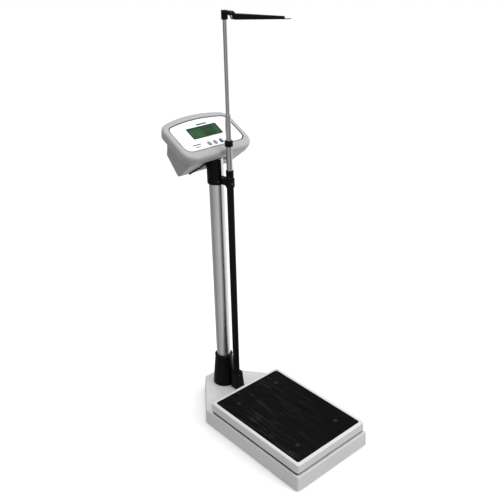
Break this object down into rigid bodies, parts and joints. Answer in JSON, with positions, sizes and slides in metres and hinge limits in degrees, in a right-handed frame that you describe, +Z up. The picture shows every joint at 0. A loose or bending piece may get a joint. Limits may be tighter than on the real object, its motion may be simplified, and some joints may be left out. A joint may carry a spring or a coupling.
{
  "type": "physician scale with height rod",
  "caption": "Floor-standing personal scale: low weighing platform, round column, tilted digital indicator and a telescopic height rod with a folding headpiece.",
  "frame": {"origin": "on the floor, at the centre of the outline of the whole object seen from above", "axes": "+Z up; -Y towards the front, where the person steps on; +X to the right of someone who reads the display"},
  "size_m": [0.29, 0.6042, 1.211],
  "materials": {
    "light_grey_paint": "satin light grey enamel",
    "black_plastic": "satin black moulded plastic",
    "black_rubber": "matt black rubber",
    "satin_steel": "satin ground steel",
    "chrome": "bright chrome",
    "zinc_plated_steel": "bright zinc plate",
    "black_steel": "black painted steel",
    "aluminium": "machined aluminium",
    "grey_case_plastic": "fine-grained light grey plastic",
    "white_panel": "smooth white film",
    "display_window": "clear window",
    "display_green": "green display glass with a dark frame",
    "key_grey": "grey key cap",
    "key_blue": "dark blue key cap",
    "circuit_board": "green board",
    "battery_wrap": "blue shrink wrap"
  },
  "bodies": {
    "stand": {"base_cover": "light_grey_paint", "base_frame": "black_steel", "battery_pack": "battery_wrap", "bracket_screw_column": "black_steel", "bracket_screw_rod": "black_steel", "case_strip_left": "black_rubber", "case_strip_right": "black_rubber", "column_bolt_1": "zinc_plated_steel", "column_bolt_2": "zinc_plated_steel", "column_bolt_3": "zinc_plated_steel", "column_bolt_4": "zinc_plated_steel", "column_socket": "black_plastic", "column_tube": "satin_steel", "indicator_bezel": "grey_case_plastic", "indicator_bracket": "black_steel", "indicator_rear_case": "grey_case_plastic", "indicator_screw_left": "zinc_plated_steel", "indicator_screw_right": "zinc_plated_steel", "lcd_module": "display_green", "lcd_window": "display_window", "load_cell": "aluminium", "load_cell_lower_spacer": "zinc_plated_steel", "lock_nut_front_left": "zinc_plated_steel", "lock_nut_front_right": "zinc_plated_steel", "lock_nut_rear_left": "zinc_plated_steel", "lock_nut_rear_right": "zinc_plated_steel", "main_board": "circuit_board", "overlay_panel": "white_panel", "power_socket": "black_plastic", "rod_bracket": "black_plastic", "rod_foot": "black_plastic", "rod_foot_screw": "black_steel", "rod_outer_tube": "black_plastic", "signal_cable": "black_plastic"},
    "platform": {"load_cell_upper_spacer": "zinc_plated_steel", "platform_support": "black_steel", "support_buffer_1": "black_rubber", "support_buffer_2": "black_rubber", "support_buffer_3": "black_rubber", "support_buffer_4": "black_rubber", "platform_tray": "light_grey_paint", "platform_mat": "black_rubber"},
    "lower_ring": {"lower_lock_ring": "black_plastic"},
    "lower_tube": {"rod_lower_tube": "chrome"},
    "upper_ring": {"upper_lock_ring": "black_plastic"},
    "middle_tube": {"rod_middle_tube": "chrome", "rod_guide_bush": "chrome"},
    "upper_rod": {"rod_upper_tube": "chrome", "head_block": "black_plastic", "arm_pivot_pin": "zinc_plated_steel"},
    "arm": {"head_arm": "black_plastic", "head_plate": "black_steel"},
    "left_key": {"key_left": "key_grey"},
    "middle_key": {"key_middle": "key_grey"},
    "right_key": {"key_right": "key_blue"},
    "door": {"battery_door": "grey_case_plastic"},
    "foot_front_left": {"levelling_foot_front_left": "black_rubber"},
    "foot_front_right": {"levelling_foot_front_right": "black_rubber"},
    "foot_rear_left": {"levelling_foot_rear_left": "black_rubber"},
    "foot_rear_right": {"levelling_foot_rear_right": "black_rubber"}
  },
  "joints": [
    {"name": "platform_load", "type": "slide", "parent": "stand", "child": "platform", "axis": [0, 0, 1], "range_m": [-0.0005, 0], "stiffness_N_per_m": 200000},
    {"name": "foot_front_left_adjust", "type": "slide", "parent": "stand", "child": "foot_front_left", "axis": [0, 0, -1], "range_m": [0, 0.008]},
    {"name": "foot_front_right_adjust", "type": "slide", "parent": "stand", "child": "foot_front_right", "axis": [0, 0, -1], "range_m": [0, 0.008]},
    {"name": "foot_rear_left_adjust", "type": "slide", "parent": "stand", "child": "foot_rear_left", "axis": [0, 0, -1], "range_m": [0, 0.008]},
    {"name": "foot_rear_right_adjust", "type": "slide", "parent": "stand", "child": "foot_rear_right", "axis": [0, 0, -1], "range_m": [0, 0.008]},
    {"name": "lower_lock_turn", "type": "hinge", "parent": "stand", "child": "lower_ring", "pos_m": [0.008, 0.13, 0.772], "axis": [0, 0, 1], "range_deg": [0, 90]},
    {"name": "lower_tube_slide", "type": "slide", "parent": "stand", "child": "lower_tube", "axis": [0, 0, 1], "range_m": [-0.068, 0.32]},
    {"name": "upper_lock_turn", "type": "hinge", "parent": "lower_tube", "child": "upper_ring", "pos_m": [0.008, 0.13, 0.86], "axis": [0, 0, 1], "range_deg": [0, 90]},
    {"name": "middle_tube_slide", "type": "slide", "parent": "lower_tube", "child": "middle_tube", "axis": [0, 0, 1], "range_m": [-0.066, 0.32]},
    {"name": "upper_rod_slide", "type": "slide", "parent": "middle_tube", "child": "upper_rod", "axis": [0, 0, 1], "range_m": [-0.245, 0.36]},
    {"name": "arm_fold", "type": "hinge", "parent": "upper_rod", "child": "arm", "pos_m": [0.008, 0.094, 1.196], "axis": [1, 0, 0], "range_deg": [0, 94.9]},
    {"name": "left_key_press", "type": "slide", "parent": "stand", "child": "left_key", "axis": [0, 0.4695, -0.8829], "range_m": [0, 0.0008], "stiffness_N_per_m": 1500},
    {"name": "middle_key_press", "type": "slide", "parent": "stand", "child": "middle_key", "axis": [0, 0.4695, -0.8829], "range_m": [0, 0.0008], "stiffness_N_per_m": 1500},
    {"name": "right_key_press", "type": "slide", "parent": "stand", "child": "right_key", "axis": [0, 0.4695, -0.8829], "range_m": [0, 0.0008], "stiffness_N_per_m": 1500},
    {"name": "battery_door_hinge", "type": "hinge", "parent": "stand", "child": "door", "pos_m": [-0.01, 0.27984, 0.80611], "axis": [1, 0, 0], "range_deg": [0, 75]}
  ]
}
